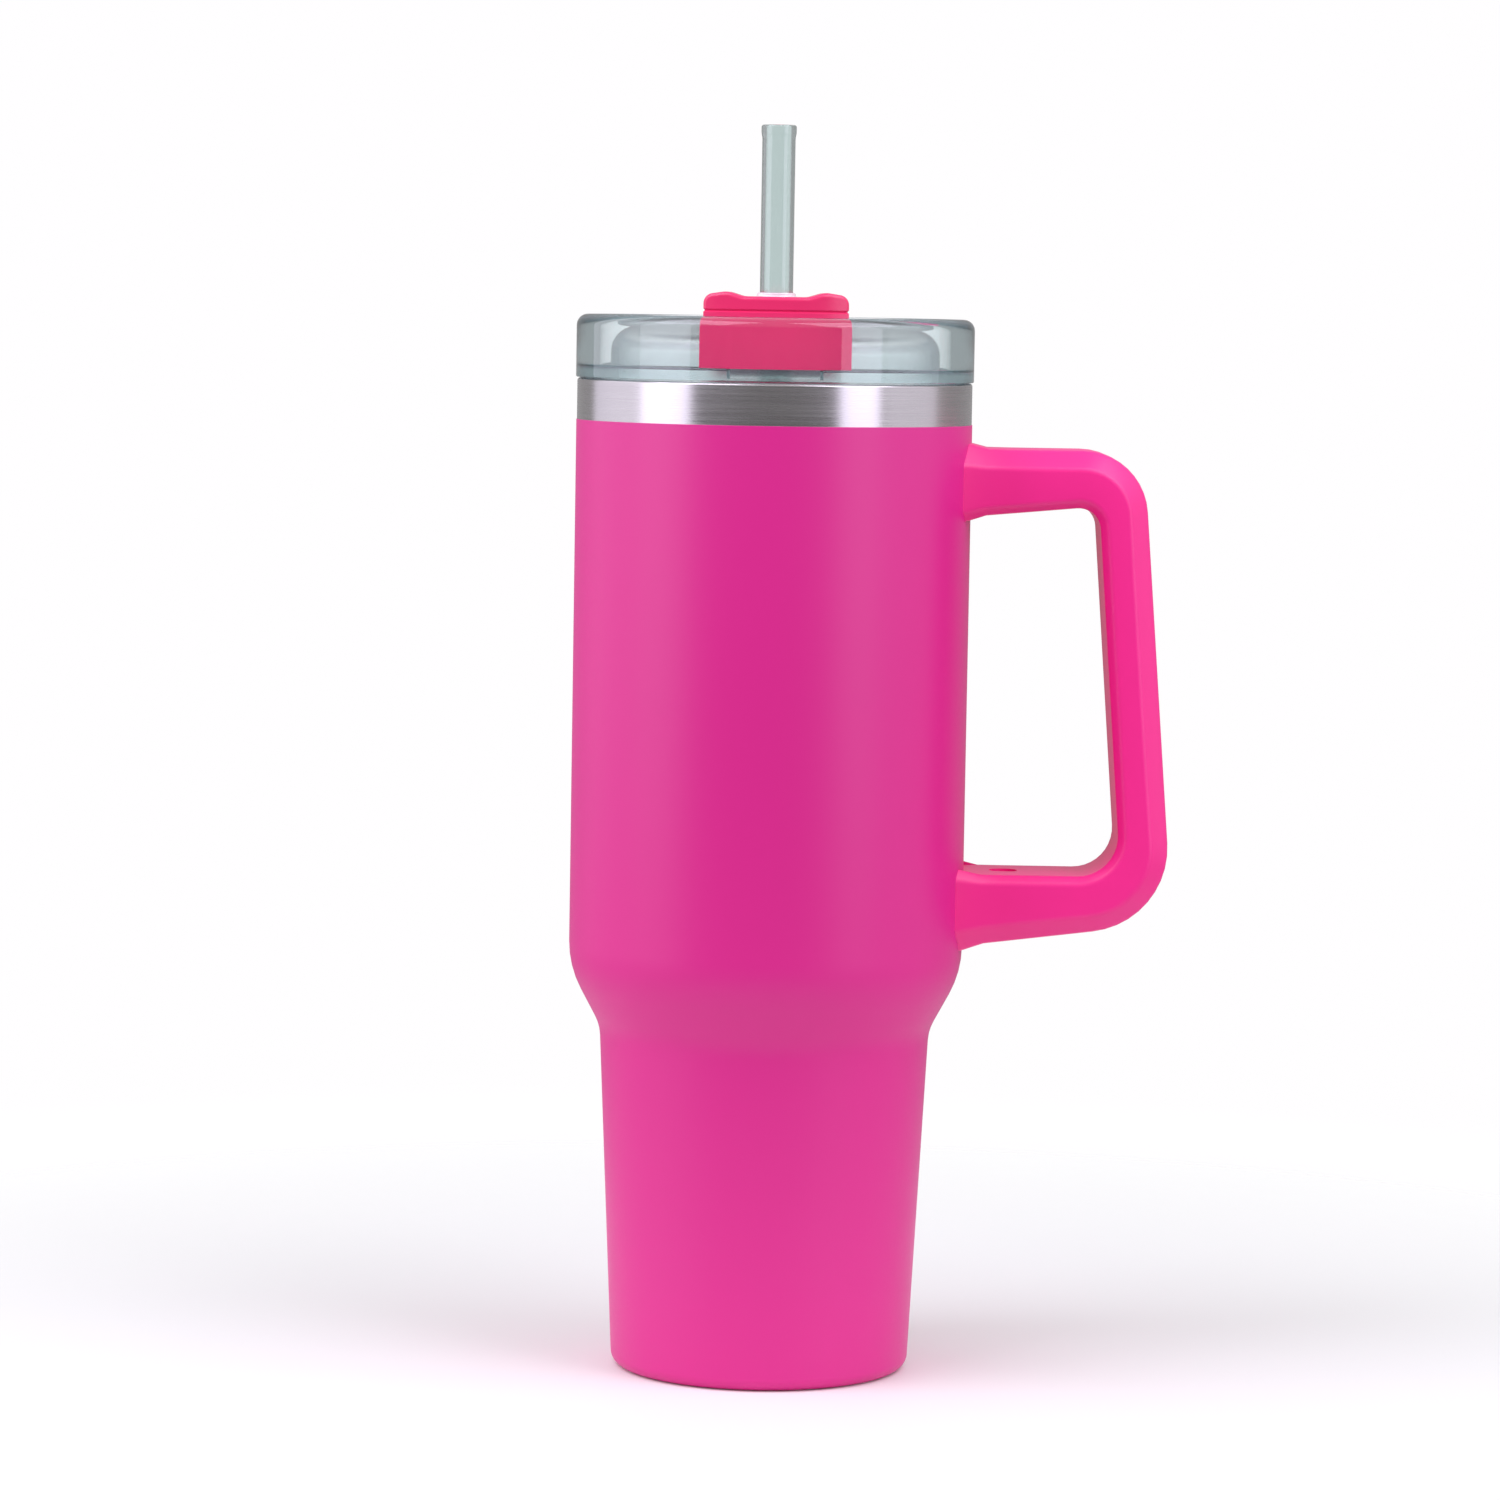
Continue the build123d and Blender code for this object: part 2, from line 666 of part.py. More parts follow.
os.makedirs("parts", exist_ok=True)
for piece in (
    outer_shell, outer_bottom, inner_liner, vacuum_plug, bottom_cover, getter,
    handle_shell, grip_strip, upper_bracket, lower_bracket, handle_screws, screw_plugs,
    lid_body, lid_gasket, cover_base, cover_cap, hub_seal, cover_retainer, sip_seal, straw_grommet, straw,
):
    export_step(piece.part, f"parts/{piece.part.label}.step")
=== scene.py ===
import bmesh
import bpy
from math import asin, ceil, cos, log, pi, radians, sin, sqrt, tan
from mathutils import Matrix, Vector


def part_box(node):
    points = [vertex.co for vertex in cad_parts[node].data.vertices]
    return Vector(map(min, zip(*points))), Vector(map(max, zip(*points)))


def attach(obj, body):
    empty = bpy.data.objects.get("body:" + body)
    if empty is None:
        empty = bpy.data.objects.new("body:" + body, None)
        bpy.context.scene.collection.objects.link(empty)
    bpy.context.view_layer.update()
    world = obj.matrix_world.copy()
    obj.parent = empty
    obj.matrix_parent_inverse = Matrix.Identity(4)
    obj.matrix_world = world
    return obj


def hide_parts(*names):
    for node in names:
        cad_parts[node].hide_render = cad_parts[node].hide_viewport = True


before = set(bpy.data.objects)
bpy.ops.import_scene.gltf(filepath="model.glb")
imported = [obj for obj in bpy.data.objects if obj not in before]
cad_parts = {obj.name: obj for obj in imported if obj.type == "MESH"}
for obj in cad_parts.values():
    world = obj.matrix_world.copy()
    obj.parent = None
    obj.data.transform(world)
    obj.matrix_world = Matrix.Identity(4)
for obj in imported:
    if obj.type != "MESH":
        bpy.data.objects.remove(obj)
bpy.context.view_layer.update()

bl_info = {
    "name": "Insulated Tumbler",
    "version": (1, 0, 0),
    "blender": (4, 5, 0),
    "location": "3D View > Sidebar > Tumbler",
    "description": "A powder-coated steel tumbler with a clear lid, a turning cover, a straw and a handle",
    "category": "Add Mesh",
}

MM = 0.001
MATT_BLUR = 0.22        # roughness of the matt texture in a clear mould
SKIN_SHARE = 0.88       # share of a lamp's light that is not mirrored away at a wall's skin
TURN_STEPS = 192        # steps round a turned piece
SLOT_STEPS = 24         # steps round each end of the sip opening and along the pour recess
STRAW_STEPS = 96        # steps round the straw and its grommet
DOME_STEPS = 40         # steps along the dome's curve, from its edge in to the hub hole
ARC_STEP = radians(9)   # longest arc that one straight step stands for

cup_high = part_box("outer_shell")[1]
lid_low, lid_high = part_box("lid_body")
straw_low, straw_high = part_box("straw")
grommet_low, grommet_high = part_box("straw_grommet")
handle_low, handle_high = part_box("handle_shell")


# ---- Sizes and colours ----

def size(label, note, millimetres):
    """A length property, given in millimetres."""
    return bpy.props.FloatProperty(
        name=label, description=note, default=millimetres * MM, min=0.0, unit="LENGTH", precision=4)


def level(label, note, value):
    """A property for a brightness or a share."""
    return bpy.props.FloatProperty(name=label, description=note, default=value, min=0.0)


def hex_colour(label, note, code):
    """A colour property, given as an sRGB hex code and held as sRGB."""
    value = [int(code[i:i + 2], 16) / 255 for i in (1, 3, 5)]
    return bpy.props.FloatVectorProperty(
        name=label, description=note, default=value, min=0.0, max=1.0, size=3, subtype="COLOR_GAMMA")


class TumblerCupSizes(bpy.types.PropertyGroup):
    """Sizes of the cup"""
    height: size("Height", "Height of the rim over the foot", cup_high.z / MM)
    radius: size("Radius", "Outer radius of the upper body", cup_high.x / MM)
    shoulder: size("Shoulder height", "Height where the upper body starts to draw in", 101.4)
    shoulder_drop: size("Shoulder drop", "Height of the slope from shoulder to waist", 14.9)
    shoulder_step: size("Shoulder step", "How far the waist is inside the upper body", 8.0)
    foot_taper: size("Foot taper", "How much the lower body narrows to the foot", 4.1)
    shoulder_round: size("Shoulder round", "Radius of the shoulder's curve", 25.0)
    waist_round: size("Waist round", "Radius of the waist's curve", 12.0)
    foot_round: size("Foot round", "Radius of the foot's edge", 3.5)
    foot_ring: size("Foot ring", "Width of the ring that the cup stands on", 2.0)
    coat: size("Coat", "Thickness of the powder coat", 0.15)
    band: size("Bare band", "Height of the bare steel band under the rim", 10.3)
    wall: size("Shell wall", "Sheet thickness of the outer wall", 0.8)
    liner_wall: size("Liner wall", "Sheet thickness of the inner wall", 0.6)
    gap: size("Gap", "Vacuum gap between the two walls", 3.4)
    liner_floor: size("Liner floor", "Height of the inner wall's underside", 5.2)
    flare: size("Rim flare", "Height over which the inner wall opens out to the rim", 4.0)
    flare_round: size("Flare round", "Radius of the bend under the flare", 3.0)
    rim_round: size("Rim round", "Radius of the bend at the top of the flare", 2.0)
    rim_lip: size("Rim lip", "Height of the upright lip over the flare", 1.5)


class TumblerHandleSizes(bpy.types.PropertyGroup):
    """Sizes of the handle"""
    top: size("Top", "Height of the upper arm's top", handle_high.z / MM)
    foot: size("Foot", "Height of the lower arm's underside at the body", 108.76)
    top_reach: size("Top reach", "Distance of the outer side's upper corner from the cup's axis", 92.3)
    top_round: size("Top round", "Radius of the outer side's upper corner", 16.5)
    low_reach: size("Low reach", "Distance of the outer side's lower corner from the cup's axis", 101.9)
    low_corner: size("Low corner", "Height of the outer side's lower corner", 115.4)
    low_round: size("Low round", "Radius of the outer side's lower corner", 21.0)
    window_start: size("Window start", "Height of the window's top at the body", 216.57)
    window_top: size("Window top", "Height of the window's upper outer corner", 219.6)
    window_top_reach: size("Window top reach", "Distance of that corner from the cup's axis", 81.2)
    window_top_round: size("Window top round", "Radius of that corner", 5.5)
    window_foot: size("Window foot", "Height of the window's floor", 127.1)
    window_low_reach: size("Window low reach", "Distance of its lower corner from the cup's axis", 88.4)
    window_low_round: size("Window low round", "Radius of that corner", 10.0)
    width: size("Width", "Width of the handle from side to side", (handle_high.y - handle_low.y) / MM)
    wall: size("Wall", "Wall of the moulded channel", 2.6)
    outer_edge: size("Outer edge", "Width of the sloped edge on the outside", 4.6)
    inner_edge: size("Inner edge", "Width of the sloped edge on the finger side", 2.0)
    edge_round: size("Edge round", "Softening of the sloped edges", 2.2)
    flare: size("Flare", "How much each arm spreads where it meets the body", 1.3)
    flare_reach: size("Flare reach", "Length of each arm over which it spreads", 5.5)
    lip_round: size("Lip round", "Radius of the channel's open edges", 0.3)
    channel_round: size("Channel round", "Radius of the corners inside the channel", 1.0)
    seat_sink: size("Seat sink", "How far the arms' ends are sunk into the coat", 0.03)
    seat_blend: size("Seat blend", "Length over which an arm's end takes the body's curve", 10.0)


class TumblerLidSizes(bpy.types.PropertyGroup):
    """Sizes of the clear lid"""
    deck: size("Deck height", "Height of the moat's floor", 252.2)
    seat_gap: size("Seat gap", "Gap between the cup's rim and the lid's flange", 0.2)
    collar: size("Collar wall", "Thickness of the clear collar", 5.8)
    collar_outside: size("Collar outside round", "Radius of the collar's outer top edge", 2.8)
    collar_inside: size("Collar inside round", "Radius of the collar's inner top edge", 1.2)
    moat: size("Moat", "Width of the channel between collar and dome", 2.8)
    dome_wall: size("Dome wall", "Thickness of the dome", 2.0)
    dome_edge: size("Dome edge", "Height of the dome's edge over the deck", 7.3)
    dome_rise: size("Dome rise", "Height of the dome's middle over the deck", 13.1)
    dome_round: size("Dome edge round", "Radius of the dome's edge", 5.0)
    over_blend: size("Blend over", "Width of the rounded edge on top of the dome", 6.0)
    under_blend: size("Blend under", "Width of the rounded edge under the dome", 4.0)
    skirt: size("Skirt radius", "Outer radius of the skirt inside the cup", 43.0)
    skirt_wall: size("Skirt wall", "Thickness of the skirt", 2.0)
    groove: size("Groove depth", "Depth of the groove that holds the gasket", 0.8)
    groove_low: size("Groove low edge", "Height of the groove's lower edge over the skirt's foot", 2.0)
    groove_high: size("Groove high edge", "Height of the groove's upper edge over the skirt's foot", 10.0)
    hub_hole: size("Hub hole", "Radius of the hole for the cover's hub", 8.08)
    sip_width: size("Sip width", "Width of the sip opening", 22.4)
    sip_depth: size("Sip depth", "Depth of the sip opening", 9.0)
    sip_reach: size("Sip reach", "Distance of the sip opening from the middle", 33.7)
    recess: size("Recess depth", "Depth of the pour recess in the moat's floor", 1.8)
    recess_gap: size("Recess gap", "Gap between the recess and the walls beside it", 0.05)
    moat_round: size("Moat corner", "Radius of the two corners of the moat's floor", 0.9)
    soft: size("Moulded edge", "Radius of the lid's small moulded edges", 0.35)


class TumblerStrawSizes(bpy.types.PropertyGroup):
    """Sizes of the straw and its grommet"""
    radius: size("Straw radius", "Outer radius of the straw", 4.15)
    wall: size("Straw wall", "Wall of the straw", 1.0)
    bead: size("Bead", "How far the mouth end stands out", 0.25)
    bead_height: size("Bead height", "Height of the thicker mouth end", 3.0)
    end_inside: size("End inside round", "Radius of the mouth end's inner edge", 0.5)
    end_outside: size("End outside round", "Radius of the mouth end's outer edge", 0.6)
    fit: size("Fit", "Gap between straw and grommet", 0.05)
    sleeve: size("Grommet sleeve", "Wall of the grommet's sleeve", 2.0)
    flange: size("Grommet flange", "Thickness of the grommet's flange", 1.0)
    lip_height: size("Lip height", "Height of the lip over the flange, before it is squeezed down", 1.8)
    lip: size("Grommet lip", "Wall of the lip round the straw", 0.6)
    lip_drop: size("Lip drop", "How far the soft lip is squeezed down round the straw", 0.8)


class TumblerColours(bpy.types.PropertyGroup):
    """Colours of the tumbler's finishes"""
    coat: hex_colour("Powder coat", "Colour of the coated body", "#D61B85")
    handle: hex_colour("Handle", "Colour of the moulded handle", "#F4208A")
    cover: hex_colour("Cover", "Colour of the turning cover", "#EA2C68")
    steel_light: hex_colour("Steel, light", "Colour of the brushed steel's ridges", "#C9C5C7")
    steel_dark: hex_colour("Steel, dark", "Colour of the brushed steel's scratches", "#B0ABAE")
    lid: hex_colour("Lid", "Tint of the clear lid", "#EAF5F7")
    straw: hex_colour("Straw", "Tint of the clear straw", "#DEE8E7")
    silicone: hex_colour("Silicone", "Colour of the seals", "#F6E2EA")
    floor: hex_colour("Floor", "Colour of the studio floor", "#F3F6F0")
    lamps: hex_colour("Lamps", "Colour of the lamps' light", "#F1ECFF")
    walls: hex_colour("Walls", "Colour of the backdrop and the room", "#FFFEFF")


# ---- Nodes ----

def linear(colour):
    """An sRGB colour made linear, with alpha 1."""
    return [c / 12.92 if c <= 0.04045 else ((c + 0.055) / 1.055) ** 2.4 for c in colour] + [1.0]


def add_node(tree, kind, settings=None, links=None):
    """Adds a node, then sets its attributes and sockets and links its inputs."""
    node = tree.nodes.new(kind)
    for key, value in (settings or {}).items():
        if isinstance(key, int) or key in node.inputs:
            node.inputs[key].default_value = value
        else:
            setattr(node, key, value)
    for key, source in (links or {}).items():
        tree.links.new(source, node.inputs[key])
    return node


def new_material(name):
    """An empty node material and the coordinates of the piece that wears it, in metres."""
    material = bpy.data.materials.new(name)
    material.use_nodes = True
    material.node_tree.nodes.clear()
    place = add_node(material.node_tree, "ShaderNodeTexCoord").outputs["Object"]
    return material, material.node_tree, place


def powder_coat(colour):
    """Matt polyester powder coat, baked on steel: even colour, a soft sheen and a fine orange peel."""
    material, tree, place = new_material("powder_coat_matt")
    # orange peel is about 0.5 mm across; it is drawn at 0.9 mm so that it shows
    peel = add_node(tree, "ShaderNodeTexNoise", {"Scale": 1 / (0.9 * MM), "Detail": 2.0}, {"Vector": place})
    # film thickness drifts over about 60 mm as the gun passes
    drift = add_node(tree, "ShaderNodeTexNoise", {"Scale": 1 / (60 * MM), "Detail": 1.0}, {"Vector": place})
    thin = [c * 0.95 for c in linear(colour)[:3]] + [1.0]
    shade = add_node(tree, "ShaderNodeMix", {"data_type": "RGBA", 6: thin, 7: linear(colour)},
                     {0: drift.outputs["Fac"]})
    gloss = add_node(tree, "ShaderNodeMapRange", {"To Min": 0.36, "To Max": 0.44},
                     {"Value": peel.outputs["Fac"]})
    bump = add_node(tree, "ShaderNodeBump", {"Strength": 0.25, "Distance": 0.02 * MM},
                    {"Height": peel.outputs["Fac"]})
    surface = add_node(tree, "ShaderNodeBsdfPrincipled", {"IOR": 1.5},
                       {"Base Color": shade.outputs[2], "Roughness": gloss.outputs["Result"],
                        "Normal": bump.outputs["Normal"]})
    add_node(tree, "ShaderNodeOutputMaterial", links={"Surface": surface.outputs["BSDF"]})
    return material


def brushed_steel(light, dark):
    """304 stainless steel, brushed round the cup: streaks run round it and spread each highlight upwards."""
    material, tree, place = new_material("stainless_steel_brushed")
    # brush lines are 0.2 mm apart and about 30 mm long
    stretch = add_node(tree, "ShaderNodeMapping", {"Scale": (1 / (30 * MM), 1 / (30 * MM), 1 / (0.2 * MM))},
                       {"Vector": place})
    lines = add_node(tree, "ShaderNodeTexNoise", {"Scale": 1.0, "Detail": 3.0, "Roughness": 0.6},
                     {"Vector": stretch.outputs["Vector"]})
    shade = add_node(tree, "ShaderNodeMix", {"data_type": "RGBA", 6: linear(dark), 7: linear(light)},
                     {0: lines.outputs["Fac"]})
    gloss = add_node(tree, "ShaderNodeMapRange", {"To Min": 0.20, "To Max": 0.34},
                     {"Value": lines.outputs["Fac"]})
    bump = add_node(tree, "ShaderNodeBump", {"Strength": 0.2, "Distance": 0.004 * MM},
                    {"Height": lines.outputs["Fac"]})
    around = add_node(tree, "ShaderNodeTangent", {"direction_type": "RADIAL", "axis": "Z"})
    surface = add_node(tree, "ShaderNodeBsdfPrincipled",
                       {"Metallic": 1.0, "Anisotropic": 0.75, "Anisotropic Rotation": 0.25},
                       {"Base Color": shade.outputs[2], "Roughness": gloss.outputs["Result"],
                        "Normal": bump.outputs["Normal"], "Tangent": around.outputs["Tangent"]})
    add_node(tree, "ShaderNodeOutputMaterial", links={"Surface": surface.outputs["BSDF"]})
    return material


def clear_plastic(name, colour, ior, wave, bump_height, gloss_low, gloss_high, thick=False, matt=0.0):
    """Clear plastic: lamps shine through it, and faint flow waves bend what is seen behind it.

    The colour is that of one wall, or of 10 mm of plastic where thick pieces grow darker with their depth.
    Within the matt radius of the piece's axis a fine matt texture in the mould blurs what lies behind.
    """
    material, tree, place = new_material(name)
    tint = linear(colour)
    skin = [1.0] * 4 if thick else tint
    flow = add_node(tree, "ShaderNodeTexNoise", {"Scale": 1 / wave, "Detail": 1.0}, {"Vector": place})
    gloss = add_node(tree, "ShaderNodeMapRange", {"To Min": gloss_low, "To Max": gloss_high},
                     {"Value": flow.outputs["Fac"]})
    flat = add_node(tree, "ShaderNodeVectorMath", {"operation": "MULTIPLY", 1: (1.0, 1.0, 0.0)}, {0: place})
    radius = add_node(tree, "ShaderNodeVectorMath", {"operation": "LENGTH"}, {0: flat.outputs["Vector"]})
    texture = add_node(tree, "ShaderNodeMapRange", {"From Min": matt - 0.4 * MM, "From Max": matt + 0.1 * MM,
                                                    "To Min": MATT_BLUR, "To Max": 0.0},
                       {"Value": radius.outputs["Value"]})
    rough = add_node(tree, "ShaderNodeMath", {"operation": "MAXIMUM"},
                     {0: gloss.outputs["Result"], 1: texture.outputs["Result"]})
    bump = add_node(tree, "ShaderNodeBump", {"Strength": 0.3, "Distance": bump_height},
                    {"Height": flow.outputs["Fac"]})
    surface = add_node(tree, "ShaderNodeBsdfPrincipled",
                       {"Base Color": skin, "Transmission Weight": 1.0, "IOR": ior},
                       {"Roughness": rough.outputs["Value"], "Normal": bump.outputs["Normal"]})
    # a lamp's light crosses two skins for each wall: each takes half of the tint and mirrors some light away
    lamps = add_node(tree, "ShaderNodeBsdfTransparent", {"Color": [SKIN_SHARE * c ** 0.5 for c in skin]})
    ray = add_node(tree, "ShaderNodeLightPath")
    both = add_node(tree, "ShaderNodeMixShader", links={0: ray.outputs["Is Shadow Ray"],
                                                        1: surface.outputs["BSDF"], 2: lamps.outputs["BSDF"]})
    output = add_node(tree, "ShaderNodeOutputMaterial", links={"Surface": both.outputs["Shader"]})
    if thick:
        depth = add_node(tree, "ShaderNodeVolumeAbsorption",
                         {"Color": [1 + log(c) for c in tint], "Density": 1 / (10 * MM)})
        tree.links.new(depth.outputs["Volume"], output.inputs["Volume"])
    return material


def moulded_plastic(name, colour, grain, grain_height, gloss_low, gloss_high, clear=0.0):
    """Moulded plastic: even colour with a faint mottle, and the mould's grain in the gloss.

    The clear share of the light goes through it.
    """
    material, tree, place = new_material(name)
    skin = add_node(tree, "ShaderNodeTexNoise", {"Scale": 1 / grain, "Detail": 2.0}, {"Vector": place})
    # pigment mottles over about 15 mm
    mottle = add_node(tree, "ShaderNodeTexNoise", {"Scale": 1 / (15 * MM), "Detail": 2.0}, {"Vector": place})
    deep = [c * 0.94 for c in linear(colour)[:3]] + [1.0]
    shade = add_node(tree, "ShaderNodeMix", {"data_type": "RGBA", 6: deep, 7: linear(colour)},
                     {0: mottle.outputs["Fac"]})
    gloss = add_node(tree, "ShaderNodeMapRange", {"To Min": gloss_low, "To Max": gloss_high},
                     {"Value": skin.outputs["Fac"]})
    bump = add_node(tree, "ShaderNodeBump", {"Strength": 0.2, "Distance": grain_height},
                    {"Height": skin.outputs["Fac"]})
    surface = add_node(tree, "ShaderNodeBsdfPrincipled",
                       {"IOR": 1.49, "Transmission Weight": clear},
                       {"Base Color": shade.outputs[2], "Roughness": gloss.outputs["Result"],
                        "Normal": bump.outputs["Normal"]})
    add_node(tree, "ShaderNodeOutputMaterial", links={"Surface": surface.outputs["BSDF"]})
    return material


def finish(name):
    """The tumbler's finish of that name, made once."""
    colours, sizes = bpy.context.scene.tumbler_colours, bpy.context.scene.tumbler_lid
    if name not in bpy.data.materials:
        if name == "powder_coat_matt":
            powder_coat(colours.coat)
        elif name == "stainless_steel_brushed":
            brushed_steel(colours.steel_light, colours.steel_dark)
        elif name == "copolyester_clear":
            # copolyester: glass-clear with a faint cool tint, and slow waves 14 mm long from the mould
            clear_plastic(name, colours.lid, 1.54, 14 * MM, 0.02 * MM, 0.02, 0.06, thick=True,
                          matt=lid_high.x - sizes.collar - sizes.moat)
        elif name == "polypropylene_clear":
            # drawn polypropylene: slightly hazy, with fine waves 6 mm long
            clear_plastic(name, colours.straw, 1.49, 6 * MM, 0.02 * MM, 0.05, 0.12)
        elif name == "polypropylene_handle":
            # moulded polypropylene with a spark-eroded skin; its 0.3 mm grain is drawn at 0.7 mm
            moulded_plastic(name, colours.handle, 0.7 * MM, 0.015 * MM, 0.34, 0.42)
        elif name == "polypropylene_gloss":
            # polished mould: glossy, with an almost smooth skin
            moulded_plastic(name, colours.cover, 2.0 * MM, 0.01 * MM, 0.20, 0.28)
        elif name == "silicone_translucent":
            # cast silicone: soft milky body with a satin skin
            moulded_plastic(name, colours.silicone, 0.8 * MM, 0.01 * MM, 0.30, 0.40, clear=0.4)
    return bpy.data.materials[name]


# ---- Meshes ----

def corner_arc(before, corner, after):
    """Centre, start and end of the arc that rounds a corner (x, z, radius) between its two neighbours."""
    here, radius = Vector(corner[:2]), corner[2]
    back = (Vector(before[:2]) - here).normalized()
    on = (Vector(after[:2]) - here).normalized()
    half = back.angle(on) / 2
    centre = here + (back + on).normalized() * radius / sin(half)
    return centre, here + back * radius / tan(half), here + on * radius / tan(half)


def arc_point(centre, start, end, share):
    """The point at a share of the way along an arc."""
    turn = (start - centre).angle_signed(end - centre)
    return centre + Matrix.Rotation(-turn * share, 2) @ (start - centre)


def rounded(corners, closed=False, arc_steps=None):
    """Points of a line through corners (x, z, radius), with an arc at each rounded corner."""
    points = []
    for i, corner in enumerate(corners):
        if corner[2] <= 0 or not closed and i in (0, len(corners) - 1):
            points.append(Vector(corner[:2]))
            continue
        centre, start, end = corner_arc(corners[i - 1], corner, corners[(i + 1) % len(corners)])
        turn = (start - centre).angle_signed(end - centre)
        steps = arc_steps or max(2, ceil(abs(turn) / ARC_STEP))
        points += [arc_point(centre, start, end, k / steps) for k in range(steps + 1)]
    return points


def new_piece(name, vertices, faces, finish_name, body, slot, nodes):
    """A smooth-shaded mesh piece that rides on a body and stands for its CAD nodes."""
    mesh = bpy.data.meshes.new(name)
    mesh.from_pydata([tuple(v) for v in vertices], [], faces)
    clean_mesh(mesh)
    piece = bpy.data.objects.new(name, mesh)
    bpy.context.scene.collection.objects.link(piece)
    mesh.materials.append(finish(finish_name))
    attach(piece, body)
    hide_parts(*nodes)
    return piece


def clean_mesh(mesh):
    """Joins doubled points, turns every face outwards and shades smooth up to 35 degrees."""
    work = bmesh.new()
    work.from_mesh(mesh)
    bmesh.ops.remove_doubles(work, verts=work.verts, dist=0.001 * MM)
    bmesh.ops.recalc_face_normals(work, faces=work.faces)
    work.to_mesh(mesh)
    work.free()
    mesh.shade_smooth()
    mesh.set_sharp_from_angle(angle=radians(35))


def turned(outline, steps=TURN_STEPS):
    """Vertices and faces of a closed outline (radius, height) turned about Z."""
    count = len(outline)
    vertices = [(r * cos(2 * pi * k / steps), r * sin(2 * pi * k / steps), z)
                for k in range(steps) for r, z in outline]
    faces = []
    for k in range(steps):
        here, there = k * count, (k + 1) % steps * count
        for i in range(count):
            j = (i + 1) % count
            faces.append((here + i, there + i, there + j, here + j))
    return vertices, faces


def prism(outline, low, high):
    """Vertices and faces of a closed outline (x, y) raised from low to high."""
    count = len(outline)
    vertices = [(x, y, z) for z in (low, high) for x, y in outline]
    faces = [tuple(range(count)), tuple(range(count, 2 * count))]
    faces += [(i, (i + 1) % count, count + (i + 1) % count, count + i) for i in range(count)]
    return vertices, faces


def cut(piece, vertices, faces):
    """Takes a solid out of a piece for good."""
    mesh = bpy.data.meshes.new("cutter")
    mesh.from_pydata(vertices, [], faces)
    clean_mesh(mesh)
    cutter = bpy.data.objects.new("cutter", mesh)
    bpy.context.scene.collection.objects.link(cutter)
    modifier = piece.modifiers.new("cut", "BOOLEAN")
    modifier.operation, modifier.solver, modifier.object = "DIFFERENCE", "EXACT", cutter
    bpy.context.view_layer.update()
    seen = bpy.context.evaluated_depsgraph_get()
    result = bpy.data.meshes.new_from_object(piece.evaluated_get(seen))
    piece.modifiers.remove(modifier)
    material = piece.data.materials[0]
    piece.data = result
    result.materials.clear()
    result.materials.append(material)
    clean_mesh(result)
    bpy.data.objects.remove(cutter)


# ---- Cup ----

def cup_line(sizes, inset, floor, top, foot_round):
    """Corners (radius, height, round) of the cup's side, drawn in by inset, from its foot to its top."""
    waist = sizes.radius - sizes.shoulder_step
    return [
        (waist - sizes.foot_taper - inset, floor, foot_round),
        (waist - inset, sizes.shoulder - sizes.shoulder_drop, sizes.waist_round),
        (sizes.radius - inset, sizes.shoulder, sizes.shoulder_round),
        (sizes.radius - inset, top, 0.0),
    ]


class TUMBLER_OT_body(bpy.types.Operator):
    """Makes the powder-coated body of the cup"""
    bl_idname = "tumbler.body"
    bl_label = "Coated Body"

    def execute(self, context):
        sizes = context.scene.tumbler_cup
        foot = sizes.radius - sizes.shoulder_step - sizes.foot_taper - sizes.foot_round
        hole = foot - sizes.foot_ring
        step = sizes.height - sizes.band
        outside = cup_line(sizes, 0.0, 0.0, step, sizes.foot_round)
        inside = cup_line(sizes, sizes.wall, sizes.wall, step, sizes.foot_round - sizes.wall)
        edge = [(sizes.radius, step, sizes.coat * 0.6), (sizes.radius - sizes.wall, step, 0.0)]
        line = rounded([(hole, 0.0, 0.0)] + outside[:-1] + edge)
        line += reversed(rounded([(hole, sizes.wall, 0.0)] + inside)[:-1])
        new_piece("coated_body", *turned(line), "powder_coat_matt", "cup", "powder_coat", ["outer_shell"])
        return {"FINISHED"}


